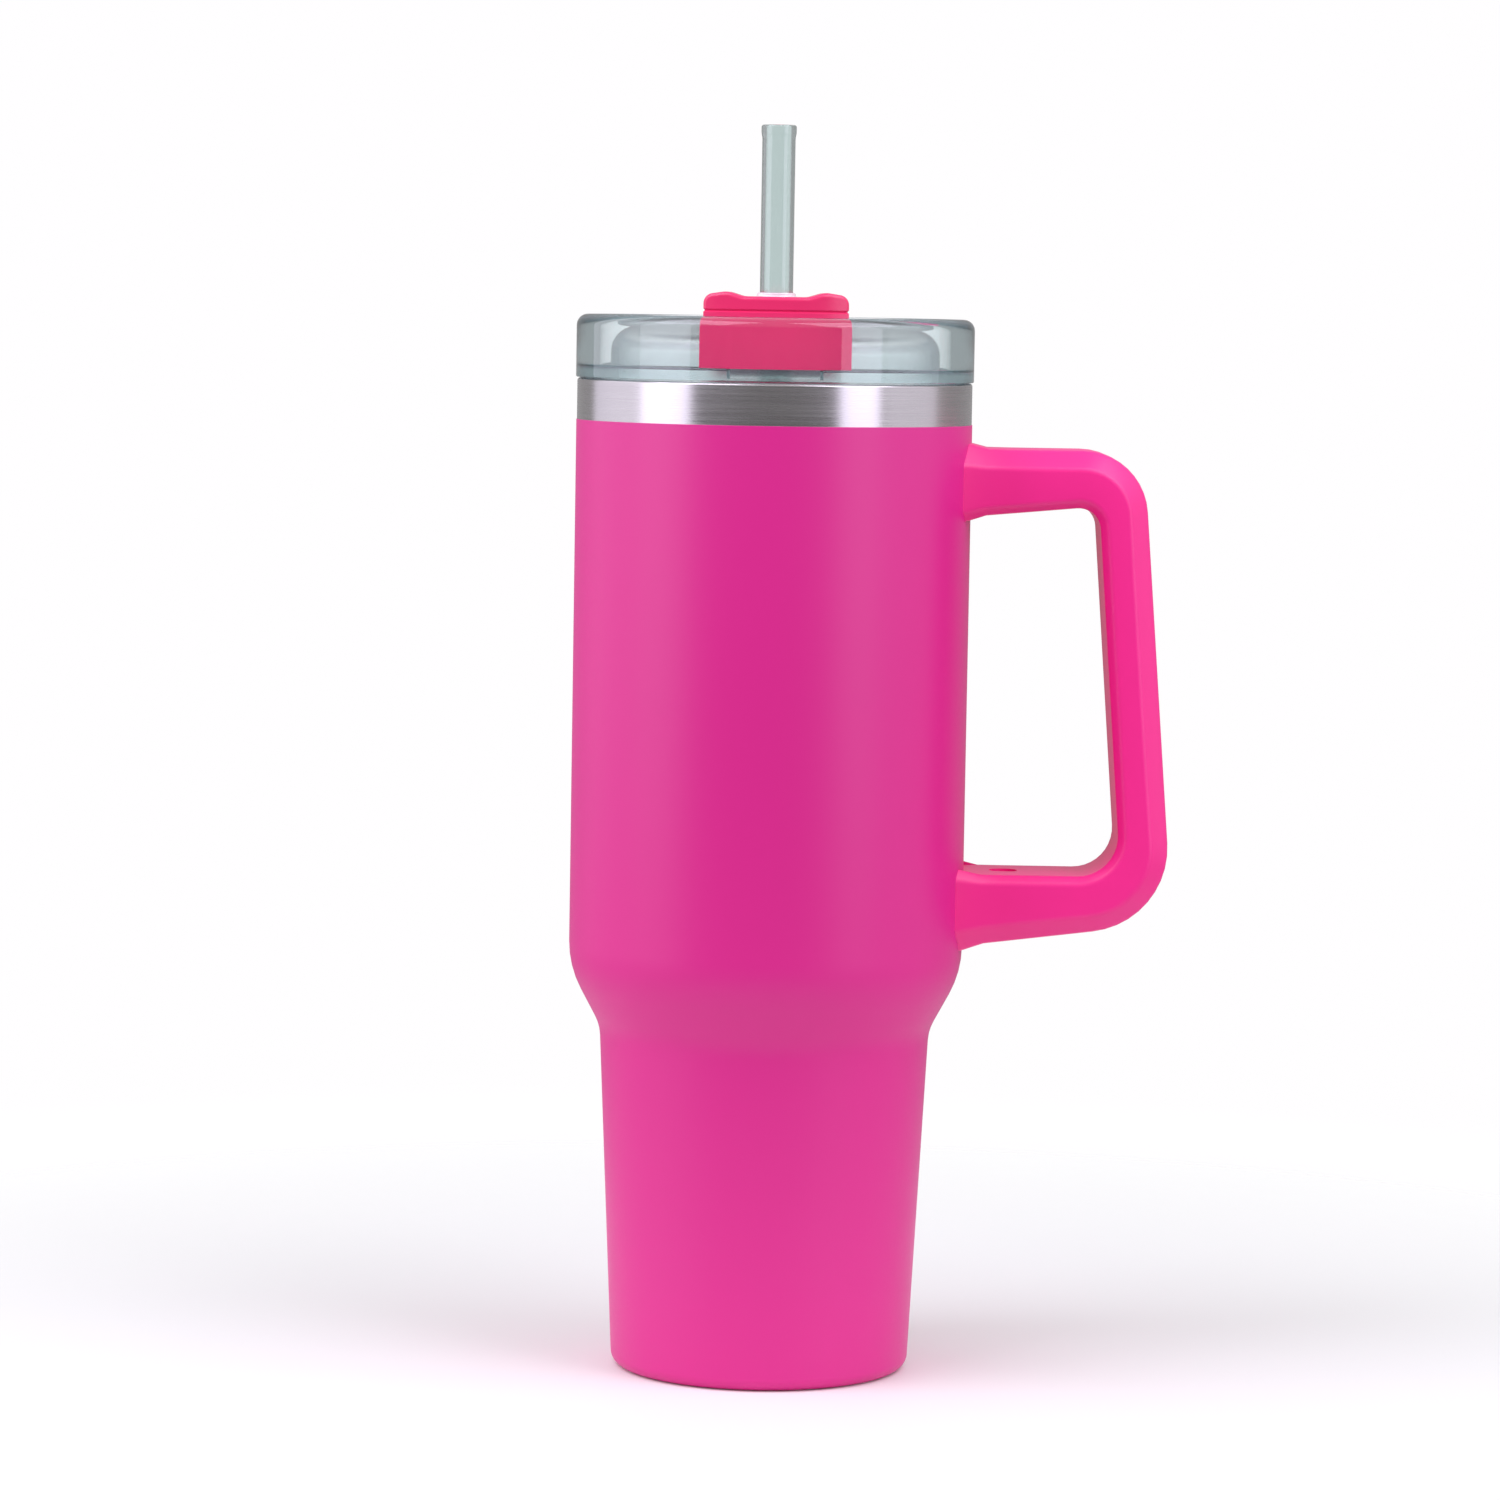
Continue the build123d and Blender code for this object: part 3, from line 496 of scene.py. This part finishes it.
class TUMBLER_OT_steel(bpy.types.Operator):
    """Makes the bare steel band and the steel inside of the cup"""
    bl_idname = "tumbler.steel"
    bl_label = "Bare Steel"

    def execute(self, context):
        sizes = context.scene.tumbler_cup
        band = sizes.radius - sizes.coat
        middle = band - sizes.wall
        line = rounded([
            (middle, sizes.height - sizes.band, 0.0), (band, sizes.height - sizes.band, 0.0),
            (band, sizes.height, sizes.wall * 0.9), (middle, sizes.height, 0.0)])
        new_piece("bare_band", *turned(line), "stainless_steel_brushed", "cup", "stainless_steel",
                  ["outer_shell"])

        inset = sizes.wall + sizes.gap
        top = sizes.height - sizes.flare
        foot_round = sizes.foot_round
        wet = cup_line(sizes, inset + sizes.liner_wall, sizes.liner_floor + sizes.liner_wall, top,
                       foot_round - sizes.liner_wall)
        dry = cup_line(sizes, inset, sizes.liner_floor, top, foot_round)
        rim = middle - sizes.liner_wall
        wet[-1] = (*wet[-1][:2], sizes.flare_round)
        dry[-1] = (*dry[-1][:2], sizes.flare_round)
        lip = sizes.height - sizes.rim_lip
        floor_hole = 0.01 * MM      # a turned piece keeps a tiny hole on its axis
        inner = rounded([(floor_hole, wet[0][1], 0.0)] + wet + [
            (rim, lip, sizes.rim_round), (rim, sizes.height, sizes.liner_wall * 0.9),
            (middle, sizes.height, 0.0)])
        outer = rounded([(floor_hole, dry[0][1], 0.0)] + dry + [(middle, lip, 0.0)])
        new_piece("steel_inside", *turned(inner + outer[::-1]), "stainless_steel_brushed", "cup",
                  "stainless_steel", ["inner_liner"])
        return {"FINISHED"}


# ---- Handle ----

# steps along the upper arm, the upper bend, the grip, the lower bend and the lower arm
HANDLE_STEPS = (6, 10, 14, 10, 6)
SECTION_STEPS = 4       # steps round each corner of the handle's section


def handle_lines(sizes, cup):
    """Matching points (x, z) along the handle's finger side and outer side, from the top arm down."""
    start = cup.radius
    outer = [(start, sizes.top, 0.0), (sizes.top_reach, sizes.top, sizes.top_round),
             (sizes.low_reach, sizes.low_corner, sizes.low_round), (start, sizes.foot, 0.0)]
    inner = [(start, sizes.window_start, 0.0),
             (sizes.window_top_reach, sizes.window_top, sizes.window_top_round),
             (sizes.window_low_reach, sizes.window_foot, sizes.window_low_round),
             (start, sizes.window_foot, 0.0)]
    lines = []
    for corners in (inner, outer):
        upper, lower = corner_arc(*corners[:3]), corner_arc(*corners[1:])
        first, last = Vector(corners[0][:2]), Vector(corners[-1][:2])
        spans = [(first, upper[1]), upper, (upper[2], lower[1]), lower, (lower[2], last)]
        line = []
        for span, steps in zip(spans, HANDLE_STEPS):
            for k in range(steps):
                straight = len(span) == 2
                line.append(span[0].lerp(span[1], k / steps) if straight else arc_point(*span, k / steps))
        lines.append(line + [last])
    return lines


class TUMBLER_OT_handle(bpy.types.Operator):
    """Makes the moulded outer handle, a channel that is open to the finger side"""
    bl_idname = "tumbler.handle"
    bl_label = "Handle"

    def execute(self, context):
        sizes, cup = context.scene.tumbler_handle, context.scene.tumbler_cup
        inner, outer = handle_lines(sizes, cup)
        side, slot = sizes.width / 2, sizes.width / 2 - sizes.wall
        big, small = sizes.outer_edge, sizes.inner_edge
        vertices, rings = [], []
        for near, far in zip(inner, outer):
            thick = (far - near).length
            half_section = [
                (0.0, slot, sizes.lip_round), (0.0, side - small, small * 0.6),
                (small, side, sizes.edge_round), (thick - big, side, sizes.edge_round),
                (thick, side - big, sizes.edge_round),
            ]
            section = half_section + [(u, -v, r) for u, v, r in half_section[::-1]]
            section += [(thick - sizes.wall, sign * slot, sizes.channel_round) for sign in (-1, 1)]
            ring = []
            away = min(near.x, far.x) - cup.radius
            spread = sizes.flare * max(0.0, 1 - away / sizes.flare_reach) ** 2
            for u, v in rounded(section, closed=True, arc_steps=SECTION_STEPS):
                v += spread * v / side
                u += spread * (2 * u / thick - 1)
                x, z = near + (far - near).normalized() * u
                # the arm's end takes the curve of the body
                surface = sqrt((cup.radius - sizes.seat_sink) ** 2 - v ** 2)
                free = cup.radius + sizes.seat_blend
                if x < free:
                    x = surface + (x - cup.radius) / sizes.seat_blend * (free - surface)
                ring.append(len(vertices))
                vertices.append((x, v, z))
            rings.append(ring)
        faces = []
        for a, b in zip(rings, rings[1:]):
            faces += [(a[i], a[(i + 1) % len(a)], b[(i + 1) % len(a)], b[i]) for i in range(len(a))]
        faces += [tuple(rings[0]), tuple(rings[-1])]
        new_piece("handle_channel", vertices, faces, "polypropylene_handle", "cup", "handle_plastic",
                  ["handle_shell"])
        return {"FINISHED"}


# ---- Lid ----

def dome_line(sizes, offset):
    """Corners of the dome's section, grown by offset, from its edge in to the hub hole."""
    side = lid_high.x - sizes.collar - sizes.moat
    sag = sizes.dome_rise - sizes.dome_edge
    curve = (side ** 2 + sag ** 2) / (2 * sag)
    centre = sizes.deck + sizes.dome_rise - curve
    edge = side + offset
    line = [edge - (edge - sizes.hub_hole) * k / DOME_STEPS for k in range(DOME_STEPS + 1)]
    return [(r, centre + sqrt((curve + offset) ** 2 - r ** 2), 0.0) for r in line]


class TUMBLER_OT_lid(bpy.types.Operator):
    """Makes the clear lid: flange, collar, moat, dome and skirt in one moulding"""
    bl_idname = "tumbler.lid"
    bl_label = "Clear Lid"

    def execute(self, context):
        sizes = context.scene.tumbler_lid
        radius, low, top = lid_high.x, lid_low.z, lid_high.z
        flange = context.scene.tumbler_cup.height + sizes.seat_gap
        bore, side = radius - sizes.collar, radius - sizes.collar - sizes.moat
        soft, skirt, groove = sizes.soft, sizes.skirt, sizes.skirt - sizes.groove
        over = dome_line(sizes, 0.0)
        under = dome_line(sizes, -sizes.dome_wall)
        groove_low, groove_high = low + sizes.groove_low, low + sizes.groove_high
        outline = [
            (bore, sizes.deck, sizes.moat_round),
            (bore, top, sizes.collar_inside), (radius, top, sizes.collar_outside),
            (radius, flange, soft), (skirt, flange, soft), (skirt, groove_high, 0.0),
            (groove, groove_high, 0.0), (groove, groove_low, 0.0),
            (skirt, groove_low, 0.0), (skirt, low, soft), (skirt - sizes.skirt_wall, low, soft),
            (skirt - sizes.skirt_wall, flange, soft), (side - sizes.dome_wall, flange, soft),
        ]
        # the dome's rounded edges are drawn as one tight arc over the first part of each curve
        outline += [(side - sizes.dome_wall, under[0][1], sizes.dome_round - sizes.dome_wall)]
        outline += [(r, z, q) for r, z, q in under if r < side - sizes.dome_wall - sizes.under_blend]
        outline += [(r, z, q) for r, z, q in over[::-1] if r < side - sizes.over_blend]
        outline += [(side, over[0][1], sizes.dome_round), (side, sizes.deck, sizes.moat_round)]
        lid = new_piece("clear_lid", *turned(rounded(outline, closed=True)), "copolyester_clear", "lid",
                        "clear_plastic", ["lid_body"])

        # sip opening: a slot with round ends
        past = MM       # how far a cutter stands past what it cuts
        half = sizes.sip_depth / 2
        end = sizes.sip_width / 2 - half
        slot = [(sign * (end + half * sin(a)), -sizes.sip_reach - sign * half * cos(a))
                for sign in (1, -1) for a in [pi * k / SLOT_STEPS for k in range(SLOT_STEPS + 1)]]
        cut(lid, *prism(slot, flange - past, top + past))

        # pour recess in the moat's floor, in front of the sip opening
        near, far = side + sizes.recess_gap, bore - sizes.recess_gap
        wide = asin(sizes.sip_width / 2 / far)
        edges = [wide * (2 * k / SLOT_STEPS - 1) for k in range(SLOT_STEPS + 1)]
        recess = [(far * sin(a), -far * cos(a)) for a in edges]
        recess += [(near * sin(a), -near * cos(a)) for a in reversed(edges)]
        cut(lid, *prism(recess, sizes.deck - sizes.recess, sizes.deck + past))
        return {"FINISHED"}


# ---- Straw ----

class TUMBLER_OT_straw(bpy.types.Operator):
    """Makes the clear straw and the silicone grommet that grips it"""
    bl_idname = "tumbler.straw"
    bl_label = "Straw and Grommet"

    def execute(self, context):
        sizes = context.scene.tumbler_straw
        outside, inside = sizes.radius, sizes.radius - sizes.wall
        low, top = straw_low.z, straw_high.z
        line = rounded([
            (inside, low, 0.15 * MM), (outside, low, 0.3 * MM),
            (outside, top - sizes.bead_height, 4 * MM),
            (outside + sizes.bead, top - 0.7 * sizes.bead_height, 3 * MM),
            (outside + sizes.bead, top, sizes.end_outside), (inside, top, sizes.end_inside),
        ], closed=True)
        new_piece("clear_straw", *turned(line, STRAW_STEPS), "polypropylene_clear", "straw",
                  "straw_plastic", ["straw"])

        low, flange = grommet_low.z, grommet_high.x
        bore = outside + sizes.fit
        sleeve = bore + sizes.sleeve
        seat, top = grommet_high.z - sizes.lip_height, grommet_high.z - sizes.lip_drop
        line = rounded([
            (bore, low, 0.2 * MM), (sleeve, low, 0.3 * MM), (sleeve, seat - sizes.flange, 0.0),
            (flange, seat - sizes.flange, 0.0), (flange, seat, 0.3 * MM),
            (bore + sizes.lip, seat, 0.5 * MM), (bore + sizes.lip, top, 0.45 * MM), (bore, top, 0.3 * MM),
        ], closed=True)
        new_piece("silicone_grommet", *turned(line, STRAW_STEPS), "silicone_translucent", "cover", "silicone",
                  ["straw_grommet"])
        return {"FINISHED"}


# ---- Cover and the pieces whose CAD shape is kept ----

KEPT_FINISHES = {
    "powder_coat_matt": ["outer_bottom", "bottom_cover"],
    "stainless_steel_brushed": ["upper_bracket", "lower_bracket", "handle_screws", "vacuum_plug", "getter"],
    "polypropylene_handle": ["grip_strip", "screw_plugs"],
    "copolyester_clear": ["cover_retainer"],
    "silicone_translucent": ["lid_gasket", "hub_seal", "sip_seal"],
    "polypropylene_gloss": ["cover_base", "cover_cap"],
}


class TUMBLER_OT_kept(bpy.types.Operator):
    """Gives each kept CAD piece its finish"""
    bl_idname = "tumbler.kept"
    bl_label = "Kept Pieces"

    def execute(self, context):
        for finish_name, nodes in KEPT_FINISHES.items():
            for node in nodes:
                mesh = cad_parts[node].data
                mesh.materials.clear()
                mesh.materials.append(finish(finish_name))
        return {"FINISHED"}


# ---- Stage ----

class TumblerStudio(bpy.types.PropertyGroup):
    """Settings of the studio"""
    camera_distance: bpy.props.FloatProperty(
        name="Camera distance", description="Distance of the camera in front of the cup",
        default=1.353, unit="LENGTH")
    camera_height: bpy.props.FloatProperty(
        name="Camera height", description="Height of the camera over the floor",
        default=0.2705, unit="LENGTH")
    camera_lens: bpy.props.FloatProperty(
        name="Lens", description="Focal length on a 36 mm sensor", default=129.36, unit="CAMERA")
    camera_pitch: bpy.props.FloatProperty(
        name="Pitch", description="How far the camera looks down", default=radians(4.82), subtype="ANGLE")
    camera_yaw: bpy.props.FloatProperty(
        name="Yaw", description="How far the camera turns to the right",
        default=radians(-0.20), subtype="ANGLE")
    camera_roll: bpy.props.FloatProperty(
        name="Roll", description="How far the camera rolls", default=radians(0.947), subtype="ANGLE")
    backdrop: level("Backdrop", "Brightness of the backdrop", 1.0)
    room: level("Room light", "Brightness of the soft light from all round", 0.46)
    below: level("Light from below", "Share of the room light that comes from under the horizon", 0.5)
    front_wall: level("Front wall", "Brightness in the gloss of the room in front of the cup", 0.15)
    side_wall: level("Side walls", "Brightness in the gloss of the room beside the cup", 0.55)
    back_wall: level("Back wall", "Share of the side walls' brightness that the back wall has", 0.72)
    ceiling: level("Ceiling", "Brightness in the gloss of the ceiling", 0.9)
    floor_solid: size("Solid floor", "Radius within which the floor is solid", 80.0)
    floor_clear: size("Clear floor", "Radius where the floor has faded into the backdrop", 500.0)


FLOOR_RINGS = (0.0005, 0.2, 0.5, 0.9, 1.4, 1.9)     # radii of the floor's rings, in metres
FLOOR_STEPS = 64        # steps round the floor
LAMP_AIM = 0.22         # height that the top lamps point at, in metres
LAMPS = {
    # name: (degrees round the cup from the camera's side, then distance from the cup's axis, height,
    # width and length in metres, then brightness of its face)
    "left_softbox": (-66.0, 1.3, 0.62, 0.80, 1.4, 2.223),
    "left_spill": (-106.0, 1.3, 0.62, 1.05, 1.4, 0.912),
    "right_softbox": (50.0, 1.3, 0.62, 0.58, 1.4, 2.337),
    "right_spill": (87.0, 1.3, 0.62, 0.95, 1.4, 0.57),
    "top_left": (-54.0, 0.5, 0.82, 0.6, 0.5, 3.648),
    "top_right": (54.0, 0.5, 0.82, 0.6, 0.5, 3.534),
}


class TUMBLER_OT_studio(bpy.types.Operator):
    """Makes the pale floor, the soft lamps, the backdrop's light and the camera"""
    bl_idname = "tumbler.studio"
    bl_label = "Studio"

    def execute(self, context):
        studio, scene = context.scene.tumbler_studio, context.scene
        self.floor(scene, studio)
        self.lamps(scene)
        self.room(scene, studio)
        self.camera(scene, studio)
        scene.view_settings.view_transform = "Standard"
        # light passes many clear walls and bounces often inside the steel cup
        scene.cycles.max_bounces, scene.cycles.transmission_bounces, scene.cycles.glossy_bounces = 24, 24, 12
        return {"FINISHED"}

    def floor(self, scene, studio):
        """A pale painted floor that fades into the backdrop."""
        rings, steps = FLOOR_RINGS, FLOOR_STEPS
        vertices = [(r * cos(2 * pi * k / steps), r * sin(2 * pi * k / steps), 0.0)
                    for r in rings for k in range(steps)]
        faces = [tuple(range(steps))]
        for ring in range(len(rings) - 1):
            for k in range(steps):
                a, b = ring * steps + k, ring * steps + (k + 1) % steps
                faces.append((a, a + steps, b + steps, b))
        mesh = bpy.data.meshes.new("studio_floor")
        mesh.from_pydata(vertices, [], faces)
        floor = bpy.data.objects.new("studio_floor", mesh)
        scene.collection.objects.link(floor)
        material, tree, place = new_material("painted_floor")
        far = add_node(tree, "ShaderNodeVectorMath", {"operation": "LENGTH"}, {0: place})
        fade = add_node(tree, "ShaderNodeMapRange",
                        {"interpolation_type": "SMOOTHSTEP", "From Min": studio.floor_solid,
                         "From Max": studio.floor_clear}, {"Value": far.outputs["Value"]})
        paint = add_node(tree, "ShaderNodeTexNoise", {"Scale": 1 / (3 * MM), "Detail": 2.0},
                         {"Vector": place})
        gloss = add_node(tree, "ShaderNodeMapRange", {"To Min": 0.55, "To Max": 0.65},
                         {"Value": paint.outputs["Fac"]})
        surface = add_node(tree, "ShaderNodeBsdfPrincipled",
                           {"Base Color": linear(scene.tumbler_colours.floor), "Specular IOR Level": 0.2},
                           {"Roughness": gloss.outputs["Result"]})
        clear = add_node(tree, "ShaderNodeBsdfTransparent")
        both = add_node(tree, "ShaderNodeMixShader", links={
            0: fade.outputs["Result"], 1: surface.outputs["BSDF"], 2: clear.outputs["BSDF"]})
        add_node(tree, "ShaderNodeOutputMaterial", links={"Surface": both.outputs["Shader"]})
        mesh.materials.append(material)

    def lamps(self, scene):
        """Soft lamps round the cup, seen in its gloss but not by the camera."""
        for name, (turn, distance, height, width, length, brightness) in LAMPS.items():
            data = bpy.data.lights.new(name, "AREA")
            data.shape, data.size, data.size_y = "RECTANGLE", width, length
            data.energy = brightness * pi * width * length
            data.color = linear(scene.tumbler_colours.lamps)[:3]
            lamp = bpy.data.objects.new(name, data)
            scene.collection.objects.link(lamp)
            angle = radians(turn)
            lamp.location = (distance * sin(angle), -distance * cos(angle), height)
            target = Vector((0.0, 0.0, LAMP_AIM if name.startswith("top") else height))
            lamp.rotation_euler = (lamp.location - target).to_track_quat("Z", "Y").to_euler()
            lamp.visible_camera = lamp.visible_transmission = False

    def room(self, scene, studio):
        """A pale backdrop all round, which gloss sees as a darker room, darkest in front of the cup."""
        world = bpy.data.worlds.new("studio_room")
        scene.world = world
        world.use_nodes = True
        tree = world.node_tree
        tree.nodes.clear()
        way = add_node(tree, "ShaderNodeTexCoord").outputs["Generated"]
        parts = add_node(tree, "ShaderNodeSeparateXYZ", links={0: way})
        # Y runs from -1 on the camera's side to 1 at the back, and Z from -1 below to 1 above
        front = add_node(tree, "ShaderNodeMapRange",
                         {"interpolation_type": "SMOOTHSTEP", "From Min": -0.75, "From Max": -0.25,
                          "To Min": studio.front_wall, "To Max": studio.side_wall},
                         {"Value": parts.outputs["Y"]})
        back = add_node(tree, "ShaderNodeMapRange",
                        {"interpolation_type": "SMOOTHSTEP", "From Min": 0.2, "From Max": 0.6,
                         "To Min": 1.0, "To Max": studio.back_wall}, {"Value": parts.outputs["Y"]})
        walls = add_node(tree, "ShaderNodeMath", {"operation": "MULTIPLY"},
                         {0: front.outputs["Result"], 1: back.outputs["Result"]})
        above = add_node(tree, "ShaderNodeMapRange",
                         {"interpolation_type": "SMOOTHSTEP", "From Min": 0.15, "From Max": 0.6},
                         {"Value": parts.outputs["Z"]})
        gloss = add_node(tree, "ShaderNodeMix", {"data_type": "FLOAT", 3: studio.ceiling},
                         {0: above.outputs["Result"], 2: walls.outputs["Value"]})
        ray = add_node(tree, "ShaderNodeLightPath")
        # straight through clear plastic the backdrop stays bright; any mirrored ray sees the darker room
        mirrored = add_node(tree, "ShaderNodeMix", {"data_type": "FLOAT", 2: studio.backdrop},
                            {0: ray.outputs["Glossy Depth"], 3: gloss.outputs[0]})
        # less light comes from under the horizon
        under = add_node(tree, "ShaderNodeMapRange",
                         {"interpolation_type": "SMOOTHSTEP", "From Min": -0.3, "From Max": 0.1,
                          "To Min": studio.below * studio.room, "To Max": studio.room},
                         {"Value": parts.outputs["Z"]})
        seen = add_node(tree, "ShaderNodeMix", {"data_type": "FLOAT"},
                        {0: ray.outputs["Is Diffuse Ray"], 2: mirrored.outputs[0],
                         3: under.outputs["Result"]})
        light = add_node(tree, "ShaderNodeBackground", {"Color": linear(scene.tumbler_colours.walls)},
                         {"Strength": seen.outputs[0]})
        add_node(tree, "ShaderNodeOutputWorld", links={"Surface": light.outputs["Background"]})

    def camera(self, scene, studio):
        """The camera, a little above the rim and looking down at the cup."""
        data = bpy.data.cameras.new("camera")
        data.lens, data.sensor_width, data.clip_start = studio.camera_lens, 36.0, 0.05
        camera = bpy.data.objects.new("camera", data)
        scene.collection.objects.link(camera)
        pitch, yaw, roll = studio.camera_pitch, studio.camera_yaw, studio.camera_roll
        forward = Vector((sin(yaw) * cos(pitch), cos(yaw) * cos(pitch), -sin(pitch)))
        right = Vector((cos(yaw), -sin(yaw), 0.0))
        up = right.cross(forward)
        across = right * cos(roll) + up * sin(roll)
        upright = up * cos(roll) - right * sin(roll)
        turn = Matrix((across, upright, -forward)).transposed().to_4x4()
        camera.matrix_world = Matrix.Translation((0.0, -studio.camera_distance, studio.camera_height)) @ turn
        scene.camera = camera


# ---- Add-on ----

class TUMBLER_PT_sidebar(bpy.types.Panel):
    """Lists the tumbler's sizes and the steps that make it"""
    bl_label = "Tumbler"
    bl_space_type = "VIEW_3D"
    bl_region_type = "UI"
    bl_category = "Tumbler"

    def draw(self, context):
        for name in GROUPS:
            box = self.layout.box()
            group = getattr(context.scene, name)
            for prop in group.__annotations__:
                box.prop(group, prop)
        for operator in OPERATORS:
            self.layout.operator(operator.bl_idname)


GROUPS = {
    "tumbler_cup": TumblerCupSizes,
    "tumbler_handle": TumblerHandleSizes,
    "tumbler_lid": TumblerLidSizes,
    "tumbler_straw": TumblerStrawSizes,
    "tumbler_colours": TumblerColours,
    "tumbler_studio": TumblerStudio,
}
OPERATORS = [TUMBLER_OT_body, TUMBLER_OT_steel, TUMBLER_OT_handle, TUMBLER_OT_lid, TUMBLER_OT_straw,
             TUMBLER_OT_kept, TUMBLER_OT_studio]


def register():
    for name, group in GROUPS.items():
        bpy.utils.register_class(group)
        setattr(bpy.types.Scene, name, bpy.props.PointerProperty(type=group))
    for item in [*OPERATORS, TUMBLER_PT_sidebar]:
        bpy.utils.register_class(item)


def unregister():
    for item in [TUMBLER_PT_sidebar, *reversed(OPERATORS)]:
        bpy.utils.unregister_class(item)
    for name, group in GROUPS.items():
        delattr(bpy.types.Scene, name)
        bpy.utils.unregister_class(group)


def main():
    """Makes the whole tumbler and its studio."""
    register()
    for operator in OPERATORS:
        group, action = operator.bl_idname.split(".")
        getattr(getattr(bpy.ops, group), action)()


if __name__ == "__main__":
    main()
